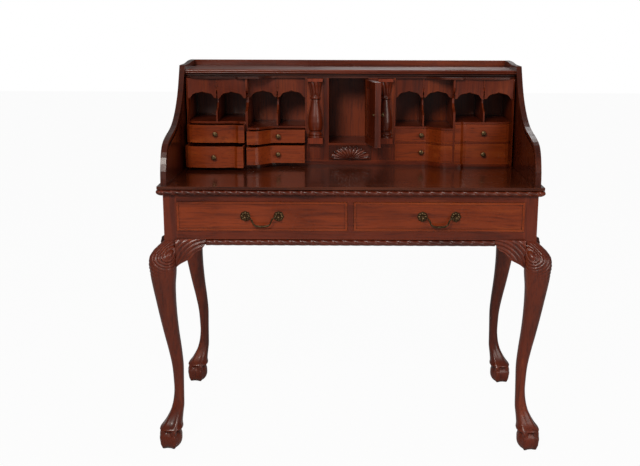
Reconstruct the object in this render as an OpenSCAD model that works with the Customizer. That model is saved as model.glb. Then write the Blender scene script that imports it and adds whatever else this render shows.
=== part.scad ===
// Roll top writing desk on cabriole legs, with a fitted interior.
// Millimetres. X runs to the right, Y away from the sitter, Z up.
// The origin is on the floor, under the middle of the desk.

/* [Overall] */
// Width of the drawer case, across the outer faces of the posts
case_w = 1042; // [980:1:1300]
// Depth from the face of the drawer case to the back edge of the top
case_d = 600; // [590:1:760]
// Height of the writing surface above the floor
desk_h = 775; // [700:1:860]
// Height of the side panels above the writing surface, at their front
upper_h = 308; // [308:1:340]

/* [Legs] */
// Width of the square post at the top of each leg
post = 36; // [30:1:44]
// How far the knee stands out past the post
knee_reach = 44; // [36:1:50]
// Distance from the back posts to the back edge of the top
back_inset = 39; // [20:1:60]
// Width of each knee bracket
bracket_w = 83; // [70:1:110]
// Height of each knee bracket
bracket_h = 80; // [66:1:90]
// Thickness of the knee brackets
bracket_t = 28; // [20:1:32]

/* [Drawer case] */
// Thickness of the flat board of the writing top
top_t = 8; // [6:1:14]
// Height of the carved moulding and the core board under that
bead_h = 18; // [14:1:22]
// How far that moulding stands out past the case
bead_reach = 18; // [14:1:24]
// Width of the small step above the moulding
bead_step = 4; // [2:0.5:6]
// Length of one lobe of the carved mouldings
lobe = 30; // [24:1:40]
// Height of the rail above the drawers
top_rail_h = 18; // [14:1:26]
// Height of the rail below the drawers
low_rail_h = 24; // [18:1:34]
// Height of the opening for the two wide drawers
wide_open_h = 83; // [70:1:110]
// Width of the stile between the two wide drawers
mid_stile = 17; // [14:1:30]
// Thickness of rails, stiles and aprons
rail_t = 22; // [18:1:26]
// Height of the carved moulding under the case
skirt_h = 20; // [14:1:24]
// Clearance round each wide drawer
gap = 1; // [0.8:0.1:2]
// Width of the raised border round each wide drawer front
border_w = 5; // [4:0.5:12]
// Depth of the panel sunk inside that border
border_d = 3; // [2:0.5:5]
// Length of the wide drawers, from front to back
wide_l = 490; // [380:1:500]
// Thickness of the wide drawer sides
wide_side_t = 10; // [8:1:14]

/* [Handles] */
// Distance between the two posts of a swinging handle
bail_span = 93; // [80:1:110]
// Drop of a swinging handle below its pivots
bail_drop = 26; // [20:1:30]
// Thickness of the swinging handle's rod
bail_rod = 4.2; // [3.4:0.1:5]
// Diameter of the pins the handle turns on
pin_d = 3; // [2.4:0.1:3.4]
// Clearance round those pins, on diameter
pin_gap = 0.5; // [0.4:0.1:0.8]
// Diameter of the round plates behind the handle posts
rosette_d = 30; // [24:1:34]
// Diameter of the small knobs
knob_d = 15; // [11:0.5:17]

/* [Side panels and top] */
// Thickness of the side panels
panel_t = 16; // [14:1:22]
// How far the side panels stand out past the case
panel_out = 4; // [0:1:8]
// Rise of the side panels at the back, above their front height
ear_h = 6; // [0:1:14]
// Depth of the upper shelf, from front to back
shelf_d = 225; // [210:1:240]
// How far the upper shelf lies below the top of the side panels
shelf_drop = 13; // [8:1:20]
// Thickness of the front edge of the upper shelf
edge_t = 12; // [10:0.5:16]
// Thickness of the upper shelf behind its front edge
shelf_t = 8; // [6:0.5:8]
// Height of the gallery rail above the upper shelf
gallery_h = 19; // [14:1:30]
// Thickness of the gallery rail
gallery_t = 15; // [12:1:20]
// Thickness of the back panel
back_t = 8; // [6:0.5:10]

/* [Roll shutter] */
// Distance from one slat of the shutter to the next
slat_pitch = 18; // [14:0.5:18]
// Thickness of the slats
slat_t = 5; // [4:0.1:5]
// Clearance above and below the slats
slat_gap = 1.5; // [1:0.1:2.5]
// Depth of the grooves that the slat ends run in
groove_d = 6; // [4:0.5:8]
// Number of slats lying flat under the upper shelf
flat_slats = 6; // [5:1:6]
// Number of slats hanging behind the pigeonholes
hanging_slats = 12; // [8:1:12]
// Depth of the leading rail
lead_w = 26; // [20:1:28]
// How far the leading rail lies behind the front edge of the upper shelf
lead_set = 14; // [8:1:16]

/* [Fitted interior] */
// Gap between the interior and each side panel
unit_gap = 5; // [2:0.5:8]
// Depth from the back of the interior to the back of the desk
unit_back = 55; // [52:1:60]
// Depth of the interior, at its middle
unit_d = 167; // [150:1:180]
// How far the two wings stand forward of the middle
wing_step = 48; // [30:1:54]
// Thickness of the upright partitions
part_t = 6; // [4:0.5:7]
// Thickness of the thin boards between drawers and under pigeonholes
rail_s = 6; // [4:0.5:7]
// Thickness of the slim dividers in the middle of the pigeonholes
slim_t = 4; // [3:0.5:5]
// Thickness of the board over the pigeonholes
roof_t = 5; // [4:0.5:8]
// Thickness of the base under the outer drawers
base_outer = 10; // [8:1:12]
// Thickness of the base under the inner drawers and the door
base_inner = 14; // [13:1:18]
// Half the width of the middle compartment
door_half = 67; // [58:1:76]
// Width of the stiles beside the door
stile_w = 16; // [12:1:18]
// Thickness of the stiles beside the door
stile_t = 18; // [14:1:22]
// Width of the opening of each document slide
slide_w = 51; // [48:1:58]
// Width of the inner pigeonhole bays
inner_bay = 175; // [165:1:190]
// Height of the inner pigeonhole floor above the writing surface
inner_floor = 121; // [117:1:127]
// Height of the outer pigeonhole floor above the writing surface
outer_floor = 140; // [136:1:146]
// Height of the lower inner drawer openings
inner_low = 54; // [50:1:58]
// Height of the lower outer drawer openings
outer_low = 64; // [60:1:68]
// Height of the opening of the carved drawer under the door
shell_low = 48; // [46:1:52]
// Clearance round each small drawer, the slides and the door
small_gap = 0.8; // [0.5:0.1:1.2]
// Thickness of the small drawer fronts
front_t = 12; // [9:0.5:14]
// Thickness of the small drawer sides, bottoms and backs
box_t = 4; // [3:0.5:5]
// Thickness of the door
door_t = 18; // [14:1:20]
// Width of the frame round the sunk panel of the door
door_frame = 22; // [16:1:28]
// Diameter of the pins the door turns on
door_pin = 4; // [3:0.5:5]
// Height of the valances over the pigeonholes
valance_h = 60; // [46:1:64]
// Thickness of the valances
valance_t = 5; // [4:0.5:6]
// Largest radius of the half columns
column_r = 23; // [18:0.5:24]

/* [Positions as shown] */
// How far the door stands open, in degrees
door_open = 102; // [0:1:104]
// How far the left outer upper drawer is pulled out
pull_outer_up = 45; // [0:1:90]
// How far the left outer lower drawer is pulled out
pull_outer_low = 85; // [0:1:90]
// How far the left inner upper drawer is pulled out
pull_inner_up = 40; // [0:1:90]
// How far the left inner lower drawer is pulled out
pull_inner_low = 55; // [0:1:90]

/* [Hidden] */
$fn = 48;
// Thickness of the board behind the pigeonholes
unit_back_t = 5;
// How far the drawer pulls stand out from the case
pull_y = 15;

half = case_w / 2;
mid_y = (case_d - knee_reach) / 2;
under_top = desk_h - top_t - bead_h;
drawer_top = under_top - top_rail_h;
drawer_low = drawer_top - wide_open_h;
case_low = drawer_low - low_rail_h;
post_in = half - post;
back_post = case_d - back_inset - post;
panel_in = half + panel_out - panel_t;
shelf_z = desk_h + upper_h - shelf_drop;
slat_z = shelf_z - edge_t - slat_gap - slat_t;
roof_z = slat_z - slat_gap;
unit_half = panel_in - unit_gap;
unit_rear = case_d - unit_back;
back_in = unit_rear - unit_back_t;
mid_front = unit_rear - unit_d;
wing_front = mid_front - wing_step;
slide_in = door_half + stile_w;
col_part = slide_in + slide_w;
inner_in = col_part + part_t;
inner_out = inner_in + inner_bay;
outer_in = inner_out + part_t;
outer_out = unit_half - part_t;
inner_mid = (inner_in + inner_out) / 2;
outer_mid = (outer_in + outer_out) / 2;
under_roof = roof_z - roof_t;
low_in_top = desk_h + base_inner + inner_low;
low_out_top = desk_h + base_outer + outer_low;
shell_top = desk_h + base_inner + shell_low;
door_z = shell_top + rail_s;
wide_half = (post_in - mid_stile / 2) / 2;
wide_mid = mid_stile / 2 + wide_half;

mahogany = [0.42, 0.13, 0.05];
dark = [0.27, 0.07, 0.03];
pale = [0.60, 0.36, 0.19];
bronze = [0.35, 0.25, 0.12];

function ease(t) = (1 - cos(180 * min(1, max(0, t)))) / 2;
// Front line of the interior: flat in the middle, forward at the wings, bowed outside.
bow_in = outer_in + 30;
bow_out = outer_out - 16;
function bow(t) = t <= 0 || t >= 1 ? 0 : sin(180 * t);
function front(x) =
  mid_front - wing_step * ease((abs(x) - inner_mid) / (inner_out - inner_mid - 20))
  + 10 * ease((abs(x) - outer_in - 18) / 14) - 7 * bow((abs(x) - bow_in) / (bow_out - bow_in))
  + 16 * ease((abs(x) - bow_out) / (unit_half - bow_out));

// A flat board whose front edge follows the front line, set back by "back".
module board(x0, x1, z0, z1, back, rear) {
  n = max(2, ceil((x1 - x0) / 9));
  pts = [for (i = [0:n]) [x0 + (x1 - x0) * i / n, front(x0 + (x1 - x0) * i / n) + back]];
  translate([0, 0, z0])
    linear_extrude(z1 - z0)
      polygon(concat([[x1, rear], [x0, rear]], pts));
}

// A closed skin over rings of points, first to last.
module skin(rings) {
  n = len(rings);
  m = len(rings[0]);
  body = [for (i = [0:n - 2], j = [0:m - 1])
    [i * m + j, i * m + (j + 1) % m, (i + 1) * m + (j + 1) % m, (i + 1) * m + j]];
  low = [[for (j = [m - 1:-1:0]) j]];
  high = [[for (j = [0:m - 1]) (n - 1) * m + j]];
  polyhedron([for (r = rings) each r], concat(low, body, high), convexity = 6);
}

module box(x0, x1, y0, y1, z0, z1) {
  translate([x0, y0, z0])
    cube([x1 - x0, y1 - y0, z1 - z0]);
}

module seat() {
  translate([0, -mid_y, 0])
    children();
}

module both() {
  children();
  mirror([1, 0, 0])
    children();
}

// Leg: centre and half width along its height, as shares of the height to the case.
leg_h = case_low;
knee_half = 38;
knee_off = knee_reach + post / 2 - knee_half;
leg_table = [[0, 20.5, 33], [0.02, 20.5, 36.5], [0.065, 20.5, 37], [0.09, 19, 34],
  [0.12, 12, 27], [0.15, 6, 22], [0.19, 0, 17.5], [0.235, -3, 14.8], [0.27, -4, 14],
  [0.32, -4, 14.6], [0.39, -3, 16.4], [0.47, 2, 18.8], [0.555, 9, 21.5], [0.64, 15, 24.5],
  [0.72, 19.5, 28], [0.79, 22.5, 32], [0.85, knee_off - 0.6, 36.4],
  [0.895, knee_off, knee_half], [0.93, 21, 36.5], [0.96, 30 - post / 2, 30],
  [0.982, 22.5 - post / 2, 22.5], [0.994, 0, post / 2 - 0.5]];
leg_sides = 20;

function ring(z, c, r, k) = [for (j = [0:leg_sides - 1])
  let(a = -360 * j / leg_sides, q = 1 / pow(pow(abs(cos(a)), k) + pow(abs(sin(a)), k), 1 / k))
  [c + r * q * cos(a), -c + r * q * sin(a), z]];

module leg(x, y, flip) {
  // The knee points outward and to the front.
  seat()
    translate([x, y, 0])
      scale([flip, 1, 1]) {
        skin([for (t = leg_table) ring(t[0] * leg_h, t[1], t[2], t[0] > 0.9 ? 4 : t[0] < 0.1 ? 3 : 2.6)]);
        translate([-post / 2, -post / 2, leg_h - 9])
          cube([post, post, under_top - leg_h + 9]);
      }
}

module wood_leg(x, y, flip) {
  color(mahogany)
    leg(x, y, flip);
}

module leg_front_left() {
  wood_leg(-half + post / 2, post / 2, -1);
}

module leg_front_right() {
  wood_leg(half - post / 2, post / 2, 1);
}

module leg_back_left() {
  wood_leg(-half + post / 2, back_post + post / 2, -1);
}

module leg_back_right() {
  wood_leg(half - post / 2, back_post + post / 2, 1);
}

// Outline of a knee bracket: along the apron, then down to the knee.
ear = [[0, 0], [bracket_w, 0], [bracket_w, -0.18 * bracket_h],
  [0.88 * bracket_w, -0.34 * bracket_h], [0.66 * bracket_w, -0.48 * bracket_h],
  [0.5 * bracket_w, -0.68 * bracket_h], [0.3 * bracket_w, -0.80 * bracket_h],
  [0.12 * bracket_w, -0.9 * bracket_h], [0, -bracket_h]];

module bracket() {
  rotate([90, 0, 0])
    linear_extrude(bracket_t)
      polygon(ear);
}

module knee_brackets() {
  color(mahogany)
    seat()
      both() {
        for (y = [0, back_post])
          translate([-post_in, y + rail_t - 2, case_low])
            bracket();
        translate([-half - 4, post, case_low])
          mirror([1, -1, 0])
            mirror([0, 1, 0])
              bracket();
      }
}

module front_rails() {
  color(mahogany)
    seat() {
      box(-post_in, post_in, 0, rail_t, drawer_top, under_top);
      box(-post_in, post_in, 0, rail_t, case_low, drawer_low);
      box(-mid_stile / 2, mid_stile / 2, 0, rail_t, drawer_low, drawer_top);
    }
}

module side_aprons() {
  color(mahogany)
    seat()
      both()
        box(-half, -half + rail_t, post, back_post, case_low, under_top);
}

module back_apron() {
  color(dark)
    seat()
      box(-post_in, post_in, back_post + post - rail_t, back_post + post, case_low, under_top);
}

module drawer_runners() {
  runner_h = 12;
  color(pale)
    seat() {
      both()
        box(-half + rail_t, -post_in + 16, post, back_post, drawer_low - runner_h, drawer_low);
      box(-24, 24, rail_t, back_post + post - rail_t, drawer_low - runner_h, drawer_low);
      both()
        box(-half + rail_t, -post_in, post, back_post, drawer_low, drawer_low + 20);
      box(-mid_stile / 2, mid_stile / 2, rail_t, back_post + post - rail_t, drawer_low, drawer_low + 30);
    }
}

// A carved strip: a half round whose size swells and narrows once a lobe.
module carved(length, h, reach) {
  lobes = round(length / lobe);
  steps = lobes * 4;
  skin([for (i = [0:steps])
    let(s = 0.84 + 0.16 * abs(sin(180 * (i / 4 + 0.25))))
    [for (j = [0:6]) let(a = -90 + 30 * j)
      [i * length / steps, -reach * s * max(0, cos(a)), h / 2 + h / 2 * sin(a)]]]);
}

module top_carved_moulding() {
  color(mahogany)
    seat() {
      translate([-half, 0, under_top])
        carved(case_w, bead_h, bead_reach);
      both()
        translate([-half, case_d, under_top])
          rotate([0, 0, -90])
            carved(case_d, bead_h, bead_reach);
      both()
        translate([-half - 1, -1, under_top + bead_h / 2])
          difference() {
            sphere(bead_reach - 1, $fn = 20);
            translate([1, 1, -bead_h])
              cube([bead_reach, bead_reach, 2 * bead_h]);
            for (z = [-1.5, 0.5])
              translate([-30, -30, z * bead_h])
                cube([60, 60, bead_h]);
          }
    }
}

module skirt_carved_moulding() {
  color(mahogany)
    seat() {
      translate([-post_in + bracket_w, 10, case_low - skirt_h])
        carved(2 * (post_in - bracket_w), skirt_h, 14);
      box(-post_in + bracket_w, post_in - bracket_w, 10, rail_t, case_low - skirt_h, case_low);
    }
}

module writing_top() {
  edge = bead_reach - bead_step;
  color(mahogany)
    seat() {
      box(-half, half, 0, case_d, under_top, desk_h - top_t);
      box(-half - edge, half + edge, -edge, case_d, desk_h - top_t, desk_h);
    }
}

// Wide drawer: a bordered front and an open box behind.
module wide_drawer(side) {
  x0 = -wide_half + gap;
  x1 = wide_half - gap;
  z0 = drawer_low + gap;
  z1 = drawer_top - gap;
  color(mahogany)
    seat()
      translate([side * wide_mid, 0, 0]) {
        difference() {
          box(x0, x1, -2, rail_t - 4, z0, z1);
          box(x0 + border_w, x1 - border_w, -3, border_d - 2, z0 + border_w, z1 - border_w);
        }
        difference() {
          box(x0 + 2, x1 - 2, rail_t - 4, wide_l, z0, z1 - 10);
          box(x0 + 2 + wide_side_t, x1 - 2 - wide_side_t, rail_t - 5, wide_l - wide_side_t, z0 + 10, z1);
        }
      }
}

module wide_drawer_left() {
  wide_drawer(-1);
}

module wide_drawer_right() {
  wide_drawer(1);
}

bail_y = -pull_y;
bail_z = (drawer_low + drawer_top) / 2;
post_r = 5;

module rosettes(side) {
  color(bronze)
    seat()
      translate([side * wide_mid, 0, bail_z])
        for (s = [-1, 1])
          translate([s * bail_span / 2, 0, 0])
            difference() {
              rotate([90, 0, 0])
                union() {
                  translate([0, 0, 2 - border_d])
                    cylinder(3, d = rosette_d);
                  cylinder(4.5, r = rosette_d / 3);
                  cylinder(pull_y + 2, r = post_r);
                  translate([0, 0, pull_y + 2])
                    cylinder(3, post_r, 2.4);
                }
              translate([-s * post_r - s * 4, bail_y, 0])
                rotate([0, s * 90, 0])
                  cylinder(4 + post_r + 2, d = pin_d + pin_gap);
            }
}

module rosettes_left() {
  rosettes(-1);
}

module rosettes_right() {
  rosettes(1);
}

// Half of the handle's line: share of half the span, share of the drop, share of the rod.
bail_line = [[1, 0, 1], [0.9, -0.05, 1], [0.8, -0.17, 1], [0.72, -0.33, 1],
  [0.67, -0.52, 1], [0.62, -0.71, 1], [0.54, -0.85, 1.05], [0.4, -0.94, 1.15],
  [0.2, -0.99, 1.3]];
bail_half = bail_span / 2 - post_r - 3.4;
bail_pts = concat([for (b = bail_line) [-b[0] * bail_half, b[1] * bail_drop, b[2]]],
  [[0, -bail_drop, 1.4]],
  [for (i = [len(bail_line) - 1:-1:0]) let(b = bail_line[i])
    [b[0] * bail_half, b[1] * bail_drop, b[2]]]);

function bail_ring(i) =
  let(n = len(bail_pts) - 1, p = bail_pts[i], q = bail_pts[max(i - 1, 0)],
    w = bail_pts[min(i + 1, n)], d = [w[0] - q[0], w[1] - q[1]], u = d / norm(d),
    r = bail_rod / 2 * p[2])
  [for (j = [0:9]) let(a = 36 * j)
    [p[0] - u[1] * r * cos(a), r * sin(a), p[1] + u[0] * r * cos(a)]];

module bail(side) {
  color(bronze)
    seat()
      translate([side * wide_mid, bail_y, bail_z]) {
        skin([for (i = [0:len(bail_pts) - 1]) bail_ring(i)]);
        for (s = [-1, 1])
          translate([s * (bail_half - 2), 0, 0])
            rotate([0, s * 90, 0]) {
              cylinder(4, d = bail_rod + 2);
              cylinder(post_r + 6, d = pin_d);
            }
      }
}

module bail_left() {
  bail(-1);
}

module bail_right() {
  bail(1);
}

// Front edge of a side panel: distance back and height, for a 308 high panel.
panel_edge = [[-6, 0], [-5.5, 20], [-3, 40], [3, 60], [10, 76], [18, 90], [28, 101], [41, 110],
  [60, 117], [84, 123], [110, 128], [136, 132], [162, 137], [190, 144], [216, 154],
  [242, 167], [266, 182], [288, 199], [308, 217], [324, 235], [338, 254], [350, 273],
  [361, 291], [371, 308]];
function edge_pt(i) = [panel_edge[i][0], desk_h + panel_edge[i][1] * upper_h / 308];

module side_panel() {
  top = desk_h + upper_h;
  pts = [for (i = [0:len(panel_edge) - 1]) edge_pt(i)];
  difference() {
    translate([-panel_in - panel_t, 0, 0])
      rotate([90, 0, 90])
        linear_extrude(panel_t)
          polygon(concat(pts, [[case_d - 145, top], [case_d - 115, top + ear_h * 0.3],
            [case_d - 75, top + ear_h * 0.85], [case_d - 45, top + ear_h], [case_d, top + ear_h],
            [case_d, desk_h]]));
    groove();
  }
}

// The groove: down the front behind the edge, under the shelf, down the back.
function inset(i) =
  let(d = edge_pt(i + 1) - edge_pt(i - 1), u = d / norm(d)) edge_pt(i) + 13 * [u[1], -u[0]];
groove_w = slat_t + 2 * slat_gap;
mid_slat = slat_z + slat_t / 2;
rear_slat = unit_rear + (case_d - back_t - 6 - unit_rear) / 2;
bend = 22;
groove_path = concat(
  [for (i = [2:len(panel_edge) - 3]) inset(i)],
  [[case_d - shelf_d - 9, mid_slat], [rear_slat - bend, mid_slat]],
  [for (a = [60, 30, 0]) [rear_slat - bend + bend * cos(a), mid_slat - bend + bend * sin(a)]],
  [[rear_slat, desk_h + 20]]);
function groove_n(i) =
  let(d = groove_path[min(i + 1, len(groove_path) - 1)] - groove_path[max(i - 1, 0)])
  [-d[1], d[0]] / norm(d);

module groove() {
  n = len(groove_path) - 1;
  translate([-panel_in - groove_d, 0, 0])
    rotate([90, 0, 90])
      linear_extrude(groove_d + 1)
        polygon(concat([for (i = [0:n]) groove_path[i] + groove_w / 2 * groove_n(i)],
          [for (i = [n:-1:0]) groove_path[i] - groove_w / 2 * groove_n(i)]));
}

module side_panel_left() {
  color(mahogany)
    seat()
      side_panel();
}

module side_panel_right() {
  color(mahogany)
    seat()
      mirror([1, 0, 0])
        side_panel();
}

module upper_shelf() {
  y0 = case_d - shelf_d;
  color(mahogany)
    seat() {
      box(-panel_in, panel_in, y0 + 4, case_d, shelf_z - shelf_t, shelf_z);
      box(-panel_in, panel_in, y0 + 4, y0 + 16, shelf_z - edge_t, shelf_z);
      translate([-panel_in, y0 + 5, shelf_z - 4])
        rotate([0, 90, 0])
          cylinder(2 * panel_in, r = 4);
      translate([-panel_in, y0 + 4, shelf_z - edge_t + 2.5])
        rotate([0, 90, 0])
          cylinder(2 * panel_in, r = 2.5);
    }
}

module gallery_rail() {
  color(mahogany)
    seat()
      box(-panel_in, panel_in, case_d - gallery_t, case_d, shelf_z, shelf_z + gallery_h);
}

module back_panel() {
  color(dark)
    seat()
      box(-panel_in, panel_in, case_d - back_t - 2, case_d - 2, desk_h, shelf_z - shelf_t);
}

slat_half = panel_in + groove_d - 0.6;
flat_front = case_d - shelf_d + lead_set;

module shutter_lead_rail() {
  color(dark)
    seat() {
      box(-slat_half, slat_half, flat_front, flat_front + lead_w, slat_z, slat_z + slat_t);
      box(-panel_in + 1, panel_in - 1, flat_front - 3, flat_front, slat_z, slat_z + slat_t);
    }
}

module slat() {
  face = slat_pitch - 1.6;
  rotate([90, 0, 90])
    translate([0, 0, -slat_half])
      linear_extrude(2 * slat_half)
        polygon([[0, 0], [face, 0], [face, slat_t * 0.55], [face - 3, slat_t * 0.9],
          [face / 2, slat_t], [3, slat_t * 0.9], [0, slat_t * 0.55]]);
}

module shutter_flat_slats() {
  y0 = flat_front + lead_w;
  color(mahogany)
    seat() {
      for (i = [0:flat_slats - 1])
        translate([0, y0 + 0.8 + i * slat_pitch, slat_z])
          slat();
      box(-panel_in + 8, panel_in - 8, y0, y0 + flat_slats * slat_pitch, slat_z, slat_z + 1);
    }
}

module shutter_hanging_slats() {
  z0 = desk_h + 24;
  color(dark)
    seat() {
      for (i = [0:hanging_slats - 1])
        translate([0, rear_slat - slat_t / 2, z0 + 0.8 + (i + 1) * slat_pitch])
          rotate([-90, 0, 0])
            slat();
      box(-panel_in + 8, panel_in - 8, rear_slat - slat_t / 2, rear_slat - slat_t / 2 + 1, z0 + 1,
        z0 + hanging_slats * slat_pitch);
    }
}

module interior_base() {
  color(mahogany)
    seat() {
      board(-unit_half, unit_half, desk_h, desk_h + base_outer, 0, unit_rear);
      board(-inner_out - part_t, inner_out + part_t, desk_h + base_outer, desk_h + base_inner, 0,
        unit_rear);
    }
}

module interior_roof() {
  color(mahogany)
    seat()
      board(-unit_half, unit_half, under_roof, roof_z, 2, unit_rear);
}

module interior_back() {
  color(dark)
    seat()
      box(-unit_half, unit_half, back_in, unit_rear, desk_h + base_inner, under_roof);
}

// Upright board with a scrolled front: a stub at the bottom, a hollow, a lobe above.
module scrolled(x, t, z0, zs, y0) {
  top = under_roof;
  h = top - zs;
  translate([x - t / 2, 0, 0])
    rotate([90, 0, 90])
      linear_extrude(t)
        polygon([[back_in, z0], [y0, z0], [y0, zs + 0.20 * h], [y0 + 4, zs + 0.24 * h],
          [y0 + 14, zs + 0.27 * h], [y0 + 30, zs + 0.32 * h], [y0 + 42, zs + 0.42 * h],
          [y0 + 44, zs + 0.53 * h], [y0 + 36, zs + 0.62 * h], [y0 + 22, zs + 0.66 * h],
          [y0 + 12, zs + 0.72 * h], [y0 + 8, zs + 0.80 * h], [y0 + 8, top],
          [back_in, top]]);
}

module interior_partitions() {
  z0 = desk_h + base_inner;
  color(mahogany)
    seat()
      both() {
        board(outer_out, unit_half, desk_h + base_outer, under_roof, 0, back_in);
        scrolled(inner_out + part_t / 2, part_t, z0, desk_h + outer_floor, front(outer_in) + 0.2);
        box(col_part, inner_in, mid_front, back_in, z0, under_roof);
        box(slide_in - part_t, slide_in, mid_front + stile_t, back_in, z0, under_roof);
      }
}

module interior_shelves() {
  color(mahogany)
    seat() {
      both() {
        board(inner_in, inner_out, low_in_top, low_in_top + rail_s, 0, back_in);
        board(inner_in, inner_out, desk_h + inner_floor - rail_s, desk_h + inner_floor, 0,
          back_in);
        board(outer_in, outer_out, low_out_top, low_out_top + rail_s, 0, back_in);
        board(outer_in, outer_out, desk_h + outer_floor - rail_s, desk_h + outer_floor, 0,
          back_in);
        box(slide_in, col_part, mid_front, back_in, shell_top, door_z);
      }
      box(-door_half, door_half, mid_front, mid_front + stile_t, shell_top, door_z);
      box(-slide_in + part_t, slide_in - part_t, mid_front + stile_t, back_in, shell_top,
        door_z);
    }
}

module slim_dividers() {
  color(mahogany)
    seat()
      both() {
        scrolled(inner_mid, slim_t, desk_h + inner_floor, desk_h + inner_floor,
          front(inner_mid) + 3);
        scrolled(outer_mid, slim_t, desk_h + outer_floor, desk_h + outer_floor,
          front(outer_mid) + 3);
      }
}

// Valance: a cupid's bow cut in the lower edge of a thin board.
module valance(x0, x1, y0) {
  w = x1 - x0;
  pts = [[0, 0], [0.05, 0], [0.09, 0.05], [0.14, 0.16], [0.2, 0.23], [0.3, 0.27],
    [0.42, 0.30], [0.5, 0.35], [0.58, 0.30], [0.7, 0.27], [0.8, 0.23], [0.86, 0.16],
    [0.91, 0.05], [0.95, 0], [1, 0]];
  translate([x0, y0 + valance_t, under_roof - valance_h])
    rotate([90, 0, 0])
      linear_extrude(valance_t)
        polygon(concat([for (p = pts) [p[0] * w, p[1] * valance_h]],
          [[w, valance_h], [0, valance_h]]));
}

module valances() {
  s = slim_t / 2;
  color(dark)
    seat()
      both() {
        valance(inner_in, inner_mid - s, front(inner_in) + 14);
        valance(inner_mid + s, inner_out, front(inner_mid) + 14);
        valance(outer_in, outer_mid - s, front(outer_mid) + 14);
        valance(outer_mid + s, outer_out, front(outer_mid) + 14);
      }
}

hinge_x = door_half - small_gap;
pin_gap_d = 0.4;

module door_stiles() {
  z0 = desk_h + base_inner;
  color(mahogany)
    seat()
      difference() {
        union() {
          both()
            box(door_half, slide_in, mid_front, mid_front + stile_t, z0, under_roof);
          both()
            box(slide_in, col_part, mid_front, mid_front + 10, z0, shell_top);
          both()
            box(slide_in + 8, col_part - 8, mid_front - 2, mid_front, z0 + 8, shell_top - 8);
          for (z = [door_z, under_roof - 3])
            box(door_half - 12, door_half, mid_front - 6, mid_front + 6, z, z + 3);
        }
        translate([hinge_x - 3, mid_front, door_z - 1])
          cylinder(under_roof - door_z + 2, d = door_pin + pin_gap_d);
      }
}

door_low = door_z + 3 + small_gap;
door_high = under_roof - 3 - small_gap;

// The door, drawn shut and turned about its pins.
module door_place() {
  translate([hinge_x - 3, mid_front, 0])
    rotate([0, 0, door_open])
      translate([-hinge_x + 3, -mid_front, 0])
        children();
}

module door() {
  x0 = -door_half + small_gap;
  x1 = hinge_x;
  y0 = mid_front;
  color(mahogany)
    seat()
      door_place() {
        difference() {
          union() {
            box(x0, x1 - 3, y0, y0 + door_t, door_low, door_high);
            translate([x1 - 3, y0, door_low])
              cylinder(door_high - door_low, r = 3);
          }
          box(x0 + door_frame, x1 - door_frame, y0 - 1, y0 + 4, door_low + door_frame,
            door_high - door_frame);
          box(x0 + door_frame, x1 - door_frame, y0 + door_t - 4, y0 + door_t + 1,
            door_low + door_frame, door_high - door_frame);
        }
        translate([x1 - 3, y0, door_low - 2.6 - small_gap])
          cylinder(door_high - door_low + 5.2 + 2 * small_gap, d = door_pin);
      }
}

module knob_shape(d) {
  // A turned knob standing out toward the sitter.
  k = d / 15;
  rotate([90, 0, 0])
    rotate_extrude($fn = 32)
      polygon([[0, 0], [5 * k, 0], [5 * k, 1.2 * k], [2.6 * k, 2.2 * k], [2.4 * k, 5 * k],
        [4.5 * k, 6.2 * k], [7 * k, 8 * k], [7.5 * k, 9.8 * k], [6.6 * k, 11.6 * k],
        [4 * k, 12.8 * k], [0, 13.2 * k]]);
}

module door_knob() {
  z = (door_low + door_high) / 2;
  color(bronze)
    seat()
      door_place() {
        translate([-door_half + small_gap + door_frame / 2, mid_front, z])
          knob_shape(knob_d);
        translate([-door_half + small_gap + door_frame / 2, mid_front + door_t, z])
          rotate([-90, 0, 0])
            cylinder(4, d = 7);
      }
}

// Small drawer whose front follows the front line.
module small_drawer(x0, x1, z0, z1, out) {
  g = small_gap;
  rear = back_in - 2 * gap;
  translate([0, -out, 0]) {
    difference() {
      board(x0 + g, x1 - g, z0 + g, z1 - g, -1, rear);
      board(x0 + g + box_t, x1 - g - box_t, z0 + g + box_t, z1, -1 + front_t, rear - box_t);
      box(x0 - 1, x1 + 1, mid_front + front_t + 2, rear + 1, z1 - g - 4, z1 + 1);
    }
  }
}

module inner_drawer(side, upper, out) {
  z0 = upper ? low_in_top + rail_s : desk_h + base_inner;
  z1 = upper ? desk_h + inner_floor - rail_s : low_in_top;
  color(mahogany)
    seat()
      scale([side, 1, 1])
        small_drawer(inner_in, inner_out, z0, z1, out);
}

module outer_drawer(side, upper, out) {
  z0 = upper ? low_out_top + rail_s : desk_h + base_outer;
  z1 = upper ? desk_h + outer_floor - rail_s : low_out_top;
  color(mahogany)
    seat()
      scale([side, 1, 1])
        small_drawer(outer_in, outer_out, z0, z1, out);
}

module inner_knob(side, upper, out) {
  z0 = upper ? low_in_top + rail_s : desk_h + base_inner;
  z1 = upper ? desk_h + inner_floor - rail_s : low_in_top;
  color(bronze)
    seat()
      translate([side * (inner_mid - knob_d * 0.4), front(inner_in) - out - 1, (z0 + z1) / 2])
        knob_shape(knob_d);
}

module outer_knob(side, upper, out) {
  z0 = upper ? low_out_top + rail_s : desk_h + base_outer;
  z1 = upper ? desk_h + outer_floor - rail_s : low_out_top;
  color(bronze)
    seat()
      translate([side * outer_mid, front(outer_mid) - out - 1, (z0 + z1) / 2])
        knob_shape(knob_d);
}

module drawer_left_outer_upper() {
  outer_drawer(-1, true, pull_outer_up);
}

module drawer_left_outer_lower() {
  outer_drawer(-1, false, pull_outer_low);
}

module drawer_left_inner_upper() {
  inner_drawer(-1, true, pull_inner_up);
}

module drawer_left_inner_lower() {
  inner_drawer(-1, false, pull_inner_low);
}

module drawer_right_outer_upper() {
  outer_drawer(1, true, 0);
}

module drawer_right_outer_lower() {
  outer_drawer(1, false, 0);
}

module drawer_right_inner_upper() {
  inner_drawer(1, true, 0);
}

module drawer_right_inner_lower() {
  inner_drawer(1, false, 0);
}

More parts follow.
